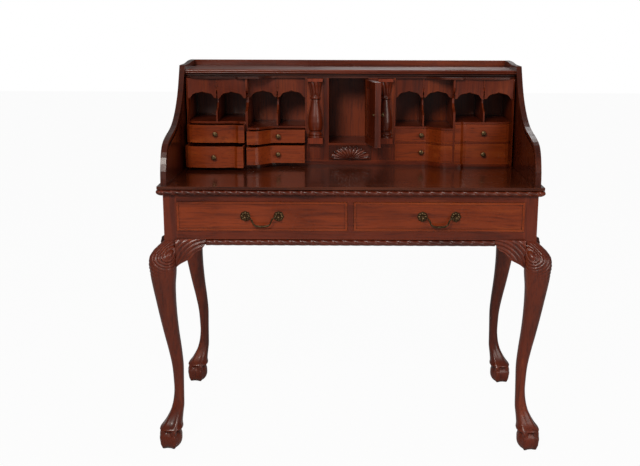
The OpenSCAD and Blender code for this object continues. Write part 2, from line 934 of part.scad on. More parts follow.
module knob_left_outer_upper() {
  outer_knob(-1, true, pull_outer_up);
}

module knob_left_outer_lower() {
  outer_knob(-1, false, pull_outer_low);
}

module knob_left_inner_upper() {
  inner_knob(-1, true, pull_inner_up);
}

module knob_left_inner_lower() {
  inner_knob(-1, false, pull_inner_low);
}

module knob_right_outer_upper() {
  outer_knob(1, true, 0);
}

module knob_right_outer_lower() {
  outer_knob(1, false, 0);
}

module knob_right_inner_upper() {
  inner_knob(1, true, 0);
}

module knob_right_inner_lower() {
  inner_knob(1, false, 0);
}

// Drawer under the door, with a fan shell on its front.
module shell_drawer() {
  g = small_gap;
  x = door_half - g;
  z0 = desk_h + base_inner + g;
  z1 = shell_top - g;
  rear = back_in - 2 * gap;
  ribs = 11;
  color(mahogany)
    seat() {
      difference() {
        box(-x, x, mid_front - 1, rear, z0, z1);
        box(-x + box_t, x - box_t, mid_front + front_t, rear - box_t, z0 + box_t, z1 + 1);
      }
      intersection() {
        translate([0, mid_front - 1, z0 + 4])
          for (i = [0:ribs - 1]) {
            a = 6 + 168 / (ribs - 1) * i;
            reach = 1 / norm([cos(a) / (0.86 * x), sin(a) / (0.80 * (z1 - z0))]);
            rotate([0, 90 - a, 0]) {
              cylinder(reach, 1.5, 5.2);
              translate([0, 0, reach])
                sphere(5.2, $fn = 24);
            }
          }
        box(-x, x, mid_front - 20, mid_front, z0, z1);
      }
    }
}

// Document slide: a tall narrow box open at its inner side.
module slide(side) {
  g = small_gap;
  x0 = slide_in + g;
  x1 = col_part - g;
  z0 = door_z + g;
  z1 = under_roof - g;
  rear = back_in - 2 * gap;
  color(mahogany)
    seat()
      scale([side, 1, 1])
        difference() {
          box(x0, x1, mid_front, rear, z0, z1);
          box(x0 + box_t, x1 - box_t, mid_front + front_t, rear - box_t, z0 + box_t, z1 + 1);
        }
}

module slide_left() {
  slide(-1);
}

module slide_right() {
  slide(1);
}

// Half column: square foot, rings, swelling shaft, narrow neck and leafy head.
module column(side) {
  g = small_gap;
  z0 = door_z + g;
  h = under_roof - g - z0;
  r = column_r;
  x = (slide_in + col_part) / 2;
  color(mahogany)
    seat()
      scale([side, 1, 1])
        intersection() {
          union() {
            translate([x, mid_front, z0])
              rotate_extrude($fn = 40)
                polygon([[0, 0], [r, 0], [r, 0.10 * h], [0.86 * r, 0.12 * h],
                  [0.95 * r, 0.145 * h], [0.86 * r, 0.17 * h], [0.74 * r, 0.19 * h],
                  [0.88 * r, 0.21 * h], [0.98 * r, 0.27 * h], [r, 0.33 * h],
                  [0.94 * r, 0.42 * h], [0.78 * r, 0.52 * h], [0.6 * r, 0.62 * h],
                  [0.52 * r, 0.68 * h], [0.7 * r, 0.69 * h], [0.7 * r, 0.71 * h],
                  [0.6 * r, 0.73 * h], [0.72 * r, 0.78 * h], [0.80 * r, 0.86 * h],
                  [0.94 * r, 0.91 * h], [r, 0.93 * h], [r, h], [0, h]]);
            box(x - r, x + r, mid_front - r, mid_front, z0, z0 + 0.09 * h);
            box(x - r, x + r, mid_front - r, mid_front, z0 + 0.955 * h, z0 + h);
          }
          box(slide_in + g, col_part - g, mid_front - 60, mid_front, z0, z0 + h);
        }
}

module column_left() {
  column(-1);
}

module column_right() {
  column(1);
}

writing_top();
top_carved_moulding();
leg_front_left();
leg_front_right();
leg_back_left();
leg_back_right();
knee_brackets();
front_rails();
side_aprons();
back_apron();
skirt_carved_moulding();
drawer_runners();
wide_drawer_left();
wide_drawer_right();
rosettes_left();
rosettes_right();
bail_left();
bail_right();
side_panel_left();
side_panel_right();
upper_shelf();
gallery_rail();
back_panel();
shutter_lead_rail();
shutter_flat_slats();
shutter_hanging_slats();
interior_base();
interior_roof();
interior_back();
interior_partitions();
interior_shelves();
slim_dividers();
valances();
door_stiles();
door();
door_knob();
shell_drawer();
slide_left();
column_left();
slide_right();
column_right();
drawer_left_outer_upper();
drawer_left_outer_lower();
drawer_left_inner_upper();
drawer_left_inner_lower();
drawer_right_outer_upper();
drawer_right_outer_lower();
drawer_right_inner_upper();
drawer_right_inner_lower();
knob_left_outer_upper();
knob_left_outer_lower();
knob_left_inner_upper();
knob_left_inner_lower();
knob_right_outer_upper();
knob_right_outer_lower();
knob_right_inner_upper();
knob_right_inner_lower();
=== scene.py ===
"""Looks of the roll top desk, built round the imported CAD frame."""
import math

import bpy
import numpy as np
from mathutils import Matrix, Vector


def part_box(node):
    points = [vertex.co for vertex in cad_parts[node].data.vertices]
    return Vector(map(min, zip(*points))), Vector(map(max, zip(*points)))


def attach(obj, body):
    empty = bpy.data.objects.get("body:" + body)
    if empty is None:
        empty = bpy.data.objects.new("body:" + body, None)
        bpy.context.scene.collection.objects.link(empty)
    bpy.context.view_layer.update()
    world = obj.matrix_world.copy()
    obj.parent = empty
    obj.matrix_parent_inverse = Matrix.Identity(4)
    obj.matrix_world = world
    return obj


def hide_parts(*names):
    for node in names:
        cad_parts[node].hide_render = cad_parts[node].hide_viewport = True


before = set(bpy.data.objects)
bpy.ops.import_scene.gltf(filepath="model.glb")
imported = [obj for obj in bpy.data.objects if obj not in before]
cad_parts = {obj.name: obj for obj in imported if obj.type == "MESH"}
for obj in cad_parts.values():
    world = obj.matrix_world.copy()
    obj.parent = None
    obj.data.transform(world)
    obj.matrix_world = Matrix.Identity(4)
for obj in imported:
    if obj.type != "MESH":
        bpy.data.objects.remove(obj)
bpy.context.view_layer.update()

MM = 0.001
MID_Y = 0.278
CASE_HALF = 0.521
CASE_DEPTH = 0.6
POST = 0.036
BACK_POST = 0.525
UNDER_TOP = 0.749
LEG_H = 0.624
BEAD_H = 0.018
LOBE, SLANT = 0.030, 1.3


# ---------------------------------------------------------------- materials
class Nodes:
    """A short way to add and join shader nodes."""

    def __init__(self, name):
        self.mat = bpy.data.materials.new(name)
        self.mat.use_nodes = True
        self.tree = self.mat.node_tree
        self.tree.nodes.clear()
        self.out = self.add("ShaderNodeOutputMaterial")
        self.bsdf = self.add("ShaderNodeBsdfPrincipled")
        self.join(self.bsdf, "BSDF", self.out, "Surface")

    def add(self, kind, inputs=None, **props):
        node = self.tree.nodes.new(kind)
        for k, v in props.items():
            setattr(node, k, v)
        for k, v in (inputs or {}).items():
            node.inputs[k].default_value = v
        return node

    def join(self, a, out, b, into):
        self.tree.links.new(a.outputs[out], b.inputs[into])

    def ramp(self, src, out, stops):
        node = self.add("ShaderNodeValToRGB")
        el = node.color_ramp.elements
        while len(el) < len(stops):
            el.new(0.5)
        for e, (pos, col) in zip(el, stops):
            e.position = pos
            e.color = (*col, 1) if len(col) == 3 else col
        self.join(src, out, node, "Fac")
        return node

    def mix(self, blend, fac, a, a_out, b, b_out):
        node = self.add("ShaderNodeMix", data_type="RGBA", blend_type=blend)
        if isinstance(fac, tuple):
            self.tree.links.new(fac[0].outputs[fac[1]], node.inputs[0])
        else:
            node.inputs[0].default_value = fac
        self.tree.links.new(a.outputs[a_out], node.inputs[6])
        self.tree.links.new(b.outputs[b_out], node.inputs[7])
        return node


def wood(name, along, tones, rough=0.30, coat=0.18, figure=1.0, carved=False):
    """Polished wood with grain running along one axis."""
    n = Nodes(name)
    squeeze = {"X": (1.6, 26, 26), "Y": (26, 1.6, 26), "Z": (26, 26, 1.6)}[along]
    fine = tuple(9 * s if s > 2 else 5 * s for s in squeeze)
    co = n.add("ShaderNodeTexCoord")
    warp = n.add("ShaderNodeTexNoise", {"Scale": 3.0, "Detail": 3.0, "Roughness": 0.5})
    n.join(co, "Object", warp, "Vector")
    shift = n.add("ShaderNodeVectorMath", operation="SCALE")
    shift.inputs["Scale"].default_value = 0.035 * figure
    n.join(warp, "Color", shift, 0)
    moved = n.add("ShaderNodeVectorMath", operation="ADD")
    n.join(co, "Object", moved, 0)
    n.join(shift, "Vector", moved, 1)
    broad_map = n.add("ShaderNodeMapping", {"Scale": squeeze})
    n.join(moved, "Vector", broad_map, "Vector")
    broad = n.add("ShaderNodeTexNoise", {"Scale": 1.0, "Detail": 6.0, "Roughness": 0.6})
    n.join(broad_map, "Vector", broad, "Vector")
    fine_map = n.add("ShaderNodeMapping", {"Scale": fine})
    n.join(moved, "Vector", fine_map, "Vector")
    pores = n.add("ShaderNodeTexNoise", {"Scale": 1.0, "Detail": 4.0, "Roughness": 0.7})
    n.join(fine_map, "Vector", pores, "Vector")
    cloud = n.add("ShaderNodeTexNoise", {"Scale": 5.5, "Detail": 2.0})
    n.join(co, "Object", cloud, "Vector")
    dark, body, light = tones
    grain = n.ramp(broad, "Fac", [(0.28, dark), (0.46, body), (0.56, body), (0.74, light)])
    pore_col = n.ramp(pores, "Fac", [(0.34, (0.42, 0.36, 0.34)), (0.5, (1, 1, 1))])
    cloud_col = n.ramp(cloud, "Fac", [(0.3, (0.72, 0.68, 0.66)), (0.7, (1.12, 1.1, 1.08))])
    col = n.mix("MULTIPLY", 0.8, grain, "Color", pore_col, "Color")
    col = n.mix("MULTIPLY", 0.8, col, 2, cloud_col, "Color")
    geo = n.add("ShaderNodeNewGeometry")
    if carved:
        # Pointiness darkens the carving's hollows, a painted shade in its creases, and lightens its
        # ridges as wear.
        edge = n.ramp(geo, "Pointiness", [(0.42, (0.12, 0.12, 0.12)), (0.49, (0.5, 0.5, 0.5)),
                                          (0.52, (0.5, 0.5, 0.5)), (0.60, (0.9, 0.9, 0.9))])
        col = n.mix("OVERLAY", 0.85, col, 2, edge, "Color")
    else:
        rim = n.add("ShaderNodeBevel", {"Radius": 0.0022}, samples=4)
        dot = n.add("ShaderNodeVectorMath", operation="DOT_PRODUCT")
        n.join(rim, "Normal", dot, 0)
        n.join(geo, "Normal", dot, 1)
        worn = n.ramp(dot, "Value", [(0.80, (1.0, 1.0, 1.0)), (0.985, (0.0, 0.0, 0.0))])
        pale = n.ramp(broad, "Fac", [(0.3, body), (0.7, tuple(1.5 * c for c in light))])
        col = n.mix("MIX", (worn, "Color"), col, 2, pale, "Color")
    # Ambient occlusion darkens creases, gaps and recesses: painted shade in the crevices, with some
    # dirt lines.
    hollow = n.add("ShaderNodeAmbientOcclusion", {"Distance": 0.009}, samples=6)
    crevice_shade_and_grime = n.ramp(hollow, "AO", [(0.30, (0.10, 0.08, 0.07)), (0.62, (0.62, 0.60, 0.58)),
                                  (0.90, (1, 1, 1))])
    col = n.mix("MULTIPLY", 0.9, col, 2, crevice_shade_and_grime, "Color")
    n.join(col, 2, n.bsdf, "Base Color")
    gloss = n.add("ShaderNodeMapRange", {"From Min": 0.3, "From Max": 0.75, "To Min": rough - 0.05,
                                         "To Max": rough + 0.14})
    n.join(cloud, "Fac", gloss, "Value")
    n.join(gloss, "Result", n.bsdf, "Roughness")
    bump = n.add("ShaderNodeBump", {"Strength": 0.12, "Distance": 0.0006})
    n.join(pores, "Fac", bump, "Height")
    bump2 = n.add("ShaderNodeBump", {"Strength": 0.10, "Distance": 0.0012})
    n.join(broad, "Fac", bump2, "Height")
    n.join(bump, "Normal", bump2, "Normal")
    n.join(bump2, "Normal", n.bsdf, "Normal")
    n.bsdf.inputs["Coat Weight"].default_value = coat
    n.bsdf.inputs["Coat Roughness"].default_value = 0.12
    n.bsdf.inputs["Specular IOR Level"].default_value = 0.34
    return n.mat


def metal(name):
    """Cast brass gone brown, brighter where fingers rub it."""
    n = Nodes(name)
    co = n.add("ShaderNodeTexCoord")
    spots = n.add("ShaderNodeTexNoise", {"Scale": 240.0, "Detail": 5.0, "Roughness": 0.65})
    n.join(co, "Object", spots, "Vector")
    base = n.ramp(spots, "Fac", [(0.3, (0.035, 0.022, 0.012)), (0.55, (0.11, 0.068, 0.032)),
                                 (0.75, (0.26, 0.17, 0.08))])
    geo = n.add("ShaderNodeNewGeometry")
    rub = n.ramp(geo, "Pointiness", [(0.44, (0.1, 0.1, 0.1)), (0.5, (0.5, 0.5, 0.5)),
                                     (0.58, (1, 1, 1))])
    col = n.mix("OVERLAY", 0.9, base, "Color", rub, "Color")
    n.join(col, 2, n.bsdf, "Base Color")
    gloss = n.add("ShaderNodeMapRange", {"To Min": 0.30, "To Max": 0.55})
    n.join(spots, "Fac", gloss, "Value")
    n.join(gloss, "Result", n.bsdf, "Roughness")
    bump = n.add("ShaderNodeBump", {"Strength": 0.2, "Distance": 0.0004})
    n.join(spots, "Fac", bump, "Height")
    n.join(bump, "Normal", n.bsdf, "Normal")
    n.bsdf.inputs["Metallic"].default_value = 0.9
    return n.mat


RED = ((0.045, 0.0055, 0.0014), (0.135, 0.0175, 0.0032), (0.235, 0.0400, 0.0075))
# A painted-shade copy of the red mahogany, at about half its brightness, for parts that sit in
# shade.
PAINTED_SHADE_RED = ((0.020, 0.0028, 0.0009), (0.062, 0.0085, 0.0018), (0.110, 0.0190, 0.0040))
# A painted-light copy of the red mahogany, brighter, as if lit.
PAINTED_LIGHT_RED = ((0.085, 0.0105, 0.0018), (0.225, 0.0330, 0.0045), (0.350, 0.0680, 0.0105))
TOP = ((0.028, 0.0050, 0.0018), (0.070, 0.0130, 0.0038), (0.115, 0.0250, 0.0072))
BARE = ((0.24, 0.13, 0.06), (0.40, 0.24, 0.12), (0.52, 0.34, 0.19))
WOOD = {
    "front": wood("mahogany_front", "X", RED),
    "painted_shade": wood("mahogany_painted_shade_x", "X", PAINTED_SHADE_RED, rough=0.34),
    "top": wood("mahogany_top", "X", TOP, rough=0.20, coat=0.55),
    "upright": wood("mahogany_upright", "Z", RED),
    # Side panels and shell drawer: the painted-shade copy, darker for shade.
    "panel": wood("mahogany_panel_painted_shade", "Z", PAINTED_SHADE_RED, rough=0.28),
    "side": wood("mahogany_side", "Y", RED),
    # Drawer fronts, slides and pigeonhole back: the painted-light copy, brighter as if lit.
    "painted_light": wood("mahogany_painted_light", "X", PAINTED_LIGHT_RED, rough=0.30),
    "painted_light_up": wood("mahogany_painted_light_upright", "Z", PAINTED_LIGHT_RED, rough=0.34),
    "carved": wood("mahogany_carved", "X", RED, rough=0.40, coat=0.2, figure=0.5, carved=True),
    "leg": wood("mahogany_leg", "Z", RED, rough=0.36, coat=0.2, figure=0.6, carved=True),
    "bare": wood("bare_runner_wood", "Y", BARE, rough=0.6, coat=0.0),
}
BRONZE = metal("old_bronze")


# ---------------------------------------------------------------- mesh tools
def make(name, verts, faces, mat, body, replaces=(), slot=None, smooth=True, angle=None):
    mesh = bpy.data.meshes.new(name)
    mesh.from_pydata([tuple(map(float, v)) for v in verts], [], [tuple(map(int, f)) for f in faces])
    mesh.validate()
    obj = bpy.data.objects.new(name, mesh)
    bpy.context.scene.collection.objects.link(obj)
    obj.data.materials.append(mat)
    if smooth:
        mesh.polygons.foreach_set("use_smooth", [True] * len(mesh.polygons))
    if angle:
        mesh.set_sharp_from_angle(angle=math.radians(angle))
    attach(obj, body)
    if replaces:
        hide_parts(*replaces)
    return obj


class Shell:
    """Gathers several closed skins into one mesh."""

    def __init__(self):
        self.v, self.f, self.n = [], [], 0

    def add(self, verts, faces):
        self.v.append(np.asarray(verts, float).reshape(-1, 3))
        self.f += [tuple(int(i) + self.n for i in f) for f in faces]
        self.n += len(self.v[-1])
        return self

    def skin(self, rings, caps=True, closed=True):
        rings = np.asarray(rings, float)
        a, b = rings.shape[:2]
        faces = [(i * b + j, i * b + (j + 1) % b, (i + 1) * b + (j + 1) % b, (i + 1) * b + j)
                 for i in range(a - 1) for j in range(b if closed else b - 1)]
        if caps:
            faces += [tuple(range(b - 1, -1, -1)), tuple((a - 1) * b + j for j in range(b))]
        return self.add(rings.reshape(-1, 3), faces)

    def tube(self, path, radii, sides=12, up=(0, 0, 1), flat=1.0):
        path, radii = np.asarray(path, float), np.asarray(radii, float)
        tan = np.gradient(path, axis=0)
        tan /= np.linalg.norm(tan, axis=1)[:, None]
        ref = np.cross(tan, np.asarray(up, float))
        bad = np.linalg.norm(ref, axis=1) < 1e-6
        ref[bad] = (1, 0, 0)
        ref /= np.linalg.norm(ref, axis=1)[:, None]
        other = np.cross(ref, tan)
        a = np.linspace(0, 2 * np.pi, sides, endpoint=False)
        ring = (path[:, None] + radii[:, None, None] * (np.cos(a)[None, :, None] * ref[:, None]
                + flat * np.sin(a)[None, :, None] * other[:, None]))
        return self.skin(ring)

    def make(self, name, mat, body, **kw):
        return make(name, np.concatenate(self.v), self.f, mat, body, **kw)


def moved(rings, x=0.0, y=0.0, z=0.0, turn=0.0):
    p = np.array(rings, float)
    c, s = math.cos(turn), math.sin(turn)
    p = p @ np.array([[c, s, 0], [-s, c, 0], [0, 0, 1]])
    return p + (x, y, z)


def bevel(obj, width, segments=2):
    m = obj.modifiers.new("edge", "BEVEL")
    m.width, m.segments = width, segments
    m.limit_method, m.angle_limit = "ANGLE", math.radians(35)
    m.use_clamp_overlap = True
    return obj


# ---------------------------------------------------------------- CAD nodes that stay
# Parts in shade (back, shutter, roof, side panels, shell drawer) take the painted-shade copy of the
# red wood.
# The drawer fronts, document slides and pigeonhole back take the painted-light copy of the red wood.
FINISH = {
    "writing_top": ("top", 0.0016), "front_rails": ("front", 0.0008),
    "side_aprons": ("side", 0.0008), "back_apron": ("painted_shade", 0.0008),
    "drawer_runners": ("bare", 0.0006), "wide_drawer_left": ("painted_light", 0.0010),
    "wide_drawer_right": ("painted_light", 0.0010), "side_panel_left": ("panel", 0.0016),
    "side_panel_right": ("panel", 0.0016), "upper_shelf": ("front", 0.0009),
    "gallery_rail": ("front", 0.0016), "back_panel": ("painted_shade", 0.0006),
    "shutter_lead_rail": ("painted_shade", 0.0006), "shutter_flat_slats": ("painted_shade", 0.0),
    "shutter_hanging_slats": ("painted_shade", 0.0), "interior_base": ("front", 0.0008),
    "interior_roof": ("painted_shade", 0.0006), "interior_back": ("painted_light_up", 0.0),
    "interior_partitions": ("upright", 0.0006), "interior_shelves": ("front", 0.0006),
    "slim_dividers": ("upright", 0.0006), "valances": ("upright", 0.0006),
    "door_stiles": ("upright", 0.0006), "door": ("upright", 0.0010),
    "shell_drawer": ("panel", 0.0), "slide_left": ("painted_light_up", 0.0006),
    "slide_right": ("painted_light_up", 0.0006),
}
SMALL = [f"{s}_{w}_{u}" for s in ("left", "right") for w in ("outer", "inner")
         for u in ("upper", "lower")]
for tag in SMALL:
    FINISH["drawer_" + tag] = ("painted_light", 0.0010)


def dress(node, mat):
    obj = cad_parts[node]
    obj.data.materials.clear()
    obj.data.materials.append(mat)
    return obj


for node, (key, width) in FINISH.items():
    piece = dress(node, WOOD[key])
    if width:
        bevel(piece, width)
for node in ["door_knob"] + ["knob_" + tag for tag in SMALL]:
    dress(node, BRONZE)


# ---------------------------------------------------------------- carved edge mouldings
def lobed(length, h, reach, lobe, slant, steps=12, sides=12):
    """A row of slanted lobes on a half round, along +X, standing out to -Y."""
    count = round(length / lobe)
    s = np.linspace(0, length, count * steps + 1)
    a = np.radians(np.linspace(-90, 90, sides + 1))
    phase = s[:, None] / length * count + slant * (a[None, :] / np.pi)
    wave = np.abs(np.sin(np.pi * phase)) ** 0.55
    grow = 0.72 + 0.28 * wave
    x = np.repeat(s[:, None], sides + 1, 1)
    y = -reach * grow * np.cos(a)[None, :]
    z = h / 2 + h / 2 * np.sin(a)[None, :] * (0.94 + 0.06 * wave)
    return np.stack([x, y, z], -1)


def bulb(c, r):
    """A ribbed corner knop."""
    t = np.linspace(0.05, np.pi - 0.05, 18)
    a = np.linspace(0, 2 * np.pi, 48, endpoint=False)
    rad = np.sin(t)[:, None] * (0.88 + 0.12 * np.abs(np.cos(4 * a + 1.2 * t[:, None])))
    pts = np.stack([rad * np.cos(a), rad * np.sin(a), -0.56 * np.cos(t)[:, None] + 0 * rad], -1)
    return np.asarray(c) + r * pts


edge = Shell()
row = lobed(2 * CASE_HALF, BEAD_H, BEAD_H, LOBE, SLANT)
edge.skin(moved(row, -CASE_HALF, -MID_Y, UNDER_TOP))
side_row = lobed(CASE_DEPTH, BEAD_H, BEAD_H, LOBE, SLANT)
edge.skin(moved(side_row, -CASE_HALF, CASE_DEPTH - MID_Y, UNDER_TOP, turn=-math.pi / 2))
edge.skin(moved(moved(side_row, turn=-math.pi / 2) * (-1, 1, 1),
                CASE_HALF, CASE_DEPTH - MID_Y, UNDER_TOP)[:, ::-1])
for sx in (-1, 1):
    edge.skin(bulb((sx * (CASE_HALF + 0.001), -MID_Y - 0.001, UNDER_TOP + BEAD_H / 2), 0.0178))
edge.make("top_gadroon", WOOD["carved"], "case", replaces=["top_carved_moulding"],
          slot="mahogany")

SKIRT_HALF, SKIRT_H = 0.4055, 0.020
skirt = Shell()
skirt.skin(moved(lobed(2 * SKIRT_HALF, SKIRT_H, 0.014, LOBE, SLANT), -SKIRT_HALF,
                 0.010 - MID_Y, LEG_H - SKIRT_H))
x, y0, y1 = SKIRT_HALF, 0.010 - MID_Y, 0.022 - MID_Y
z0, z1 = LEG_H - SKIRT_H, LEG_H
skirt.skin([[(-x, y0, z0), (-x, y0, z1), (-x, y1, z1), (-x, y1, z0)],
            [(x, y0, z0), (x, y0, z1), (x, y1, z1), (x, y1, z0)]])
skirt.make("skirt_gadroon", WOOD["carved"], "case", replaces=["skirt_carved_moulding"],
           slot="mahogany")

# ---------------------------------------------------------------- legs
LEG = np.array([[0, 20.5, 33], [0.02, 20.5, 36.5], [0.065, 20.5, 37], [0.09, 19, 34],
                [0.12, 12, 27], [0.15, 6, 22], [0.19, 0, 17.5], [0.235, -3, 14.8],
                [0.27, -4, 14], [0.32, -4, 14.6], [0.39, -3, 16.4], [0.47, 2, 18.8],
                [0.555, 9, 21.5], [0.64, 15, 24.5], [0.72, 19.5, 28], [0.79, 22.5, 32],
                [0.85, 23.4, 36.4], [0.895, 24, 38], [0.93, 21, 36.5], [0.96, 12, 30],
                [0.982, 4, 22.5], [0.994, 0, 17.5]])


def smooth_curve(t, knots, vals):
    """A smooth line through the knots, held to their range between them."""
    m = np.gradient(vals, knots)
    i = np.clip(np.searchsorted(knots, t) - 1, 0, len(knots) - 2)
    h = knots[i + 1] - knots[i]
    u = np.clip((t - knots[i]) / h, 0, 1)
    return ((2 * u**3 - 3 * u**2 + 1) * vals[i] + (u**3 - 2 * u**2 + u) * h * m[i]
            + (3 * u**2 - 2 * u**3) * vals[i + 1] + (u**3 - u**2) * h * m[i + 1])


def bump(x, c, w):
    return np.exp(-(((x - c) / w) ** 2))


def leg_rings():
    """The leg, its knee pointing to (+X, -Y), with its carved knee, claw and ball."""
    t = np.concatenate([np.linspace(0.0, 0.22, 84), np.linspace(0.23, 0.70, 44),
                        np.linspace(0.705, 0.994, 100)])
    sides = 160
    a = np.linspace(0, 2 * np.pi, sides, endpoint=False)
    c = smooth_curve(t, LEG[:, 0], LEG[:, 1])[:, None]
    r = smooth_curve(t, LEG[:, 0], LEG[:, 2])[:, None]
    k = (2.5 + 1.5 * np.clip((t - 0.94) / 0.05, 0, 1) + 0.3 * np.clip((0.1 - t) / 0.05, 0, 1))
    k = k[:, None]
    q = (np.abs(np.cos(a)) ** k + np.abs(np.sin(a)) ** k) ** (-1 / k)
    tt, aa = t[:, None], a[None, :]
    z = tt * LEG_H / MM
    # angle from the knee's ridge, which points to (+X, -Y)
    d = (aa + np.pi / 4 + np.pi) % (2 * np.pi) - np.pi
    # flutes that ring a scroll eye on each face of the knee
    side = np.abs(d)
    across = (side - 1.32) * 34
    up = z - 588
    rad = np.sqrt(across**2 + up**2)
    zone = (np.clip((z - 520 + 12 * np.cos(2 * d)) / 22, 0, 1) * np.clip((620 - z) / 8, 0, 1)
            * np.clip((2.3 - side) / 0.3, 0, 1))
    flute = 0.5 + 0.5 * np.cos(2 * np.pi * rad / 8.6 + 0.55 * np.arctan2(up, across))
    fade = np.clip((rad - 9) / 5, 0, 1) * np.clip(1.25 - rad / 88, 0, 1)
    carve = -zone * 2.9 * fade * (1 - flute**0.7)
    eye = np.clip(1 - rad / 11, 0, 1)
    carve = carve + zone * (2.6 * eye**0.6 - 2.2 * bump(rad, 10.0, 2.0))
    carve = carve + zone * 1.1 * bump(d, 0, 0.10) * np.clip((z - 545) / 20, 0, 1)
    # three cords run down from the ankle to knuckled talons, with a fourth behind
    talons = sum(bump(d, w, wd) for w, wd in ((-1.22, 0.24), (0.0, 0.25), (1.22, 0.24),
                                              (np.pi, 0.34), (-np.pi, 0.34)))
    talons = np.clip(talons, 0, 1)
    low = np.clip((118 - z) / 40, 0, 1)
    carve = carve + low * np.clip((z - 50) / 14, 0, 1) * (3.4 * talons - 2.6)
    knuckle = 2.4 * bump(z, 54, 6) + 1.8 * bump(z, 33, 6) - 1.2 * bump(z, 43, 4)
    ball = np.sqrt(np.maximum(35.0**2 - (z - 27.0) ** 2, 12.0**2))
    # between the talons the ball shows, rounder and set back from them
    web = 4.6 * bump(z, 62, 5)
    foot = np.clip((58 - z) / 8, 0, 1)
    gripped = np.minimum(r * q, 37.0) - 1.0 + knuckle - 5.5 * np.clip((14 - z) / 14, 0, 1)
    shown = np.minimum(ball - 2.2, r * q)
    body = r * q + carve + web * (1 - talons) * 0.5
    rr = body * (1 - foot) + foot * (talons * gripped + (1 - talons) * shown)
    rr = np.minimum(rr, 41.0 * q)
    limit = np.where(z < 90, 37.0, 1e3)
    x = np.clip(rr * np.cos(aa), -limit, limit)
    y = np.clip(rr * np.sin(aa), -limit, limit)
    return np.stack([c + x, -c + y, np.broadcast_to(z, rr.shape)], -1) * MM


def post_rings(h, z0, z1):
    """A square post with enough points for its edges to wear."""
    e = np.linspace(-h, h, 14)[:-1]
    loop = np.concatenate([np.stack([e, -h + 0 * e], -1), np.stack([h + 0 * e, e], -1),
                           np.stack([-e, h + 0 * e], -1), np.stack([-h + 0 * e, -e], -1)])
    return [[(x, y, z) for x, y in loop] for z in np.linspace(z0, z1, 40)]


def box_rings(x0, x1, y0, y1, z0, z1):
    return [[(x0, y0, z), (x1, y0, z), (x1, y1, z), (x0, y1, z)] for z in (z0, z1)]


LEG_RINGS = leg_rings()
for node, sx, y in (("leg_front_left", -1, 0), ("leg_front_right", 1, 0),
                    ("leg_back_left", -1, BACK_POST), ("leg_back_right", 1, BACK_POST)):
    leg = Shell()
    place = (sx * (CASE_HALF - POST / 2), y + POST / 2 - MID_Y, 0)
    p = LEG_RINGS * (sx, 1, 1) + place
    leg.skin(p if sx > 0 else p[:, ::-1])
    leg.skin(np.array(post_rings(POST / 2, 0.612, UNDER_TOP)) + place)
    leg.make(node + "_carved", WOOD["leg"], "case", replaces=[node], slot="mahogany", angle=48)

# ---------------------------------------------------------------- knee brackets
def bracket_rings():
    """Ear beside the knee, along +X from the post, 0 at the case's underside; carved face at -Y."""
    w, h = 0.083, 0.080
    u = np.linspace(0, 1, 44)
    low_u = np.array([0, 0.12, 0.3, 0.5, 0.66, 0.88, 1.0])
    low_v = np.array([-1, -0.9, -0.80, -0.68, -0.48, -0.34, -0.18])
    low = smooth_curve(u, low_u, low_v) * h
    rows = 28
    v = np.linspace(0, 1, rows)
    front = []
    for i, uu in enumerate(u):
        z = low[i] * v
        x = np.full(rows, uu * w)
        rad = np.sqrt((x - 0.092) ** 2 + (z + 0.098) ** 2)
        leaf = (0.5 + 0.5 * np.cos(rad * 2 * np.pi / 0.0112)) ** 0.7
        swell = 0.012 * (1 - uu) ** 1.5 * (1 - 0.5 * v) + 0.004 * (1 - uu)
        edge = np.minimum(np.minimum(v, 1 - v) * 9, 1)
        y = -(0.004 + swell) * (0.72 + 0.28 * edge) + 0.0030 * (1 - leaf) * edge
        front.append(np.stack([x, y, z], -1))
    front = np.array(front)
    back = front.copy()
    back[..., 1] = 0.018
    return np.concatenate([front, back[:, ::-1]], axis=1)


EAR = bracket_rings()
ROOT = 0.004
ears = Shell()
for sx in (-1, 1):
    for y in (0.0, BACK_POST):
        p = EAR * (-sx, 1, 1) + (sx * (CASE_HALF - POST + ROOT), y + 0.002 - MID_Y, LEG_H)
        ears.skin(p if sx < 0 else p[:, ::-1])
    q = np.stack([-sx * EAR[..., 1], EAR[..., 0], EAR[..., 2]], -1)
    q = q + (sx * (CASE_HALF - 0.002), POST - ROOT - MID_Y, LEG_H)
    ears.skin(q if sx < 0 else q[:, ::-1])
ears.make("carved_ears", WOOD["leg"], "case", replaces=["knee_brackets"], slot="mahogany", angle=50)

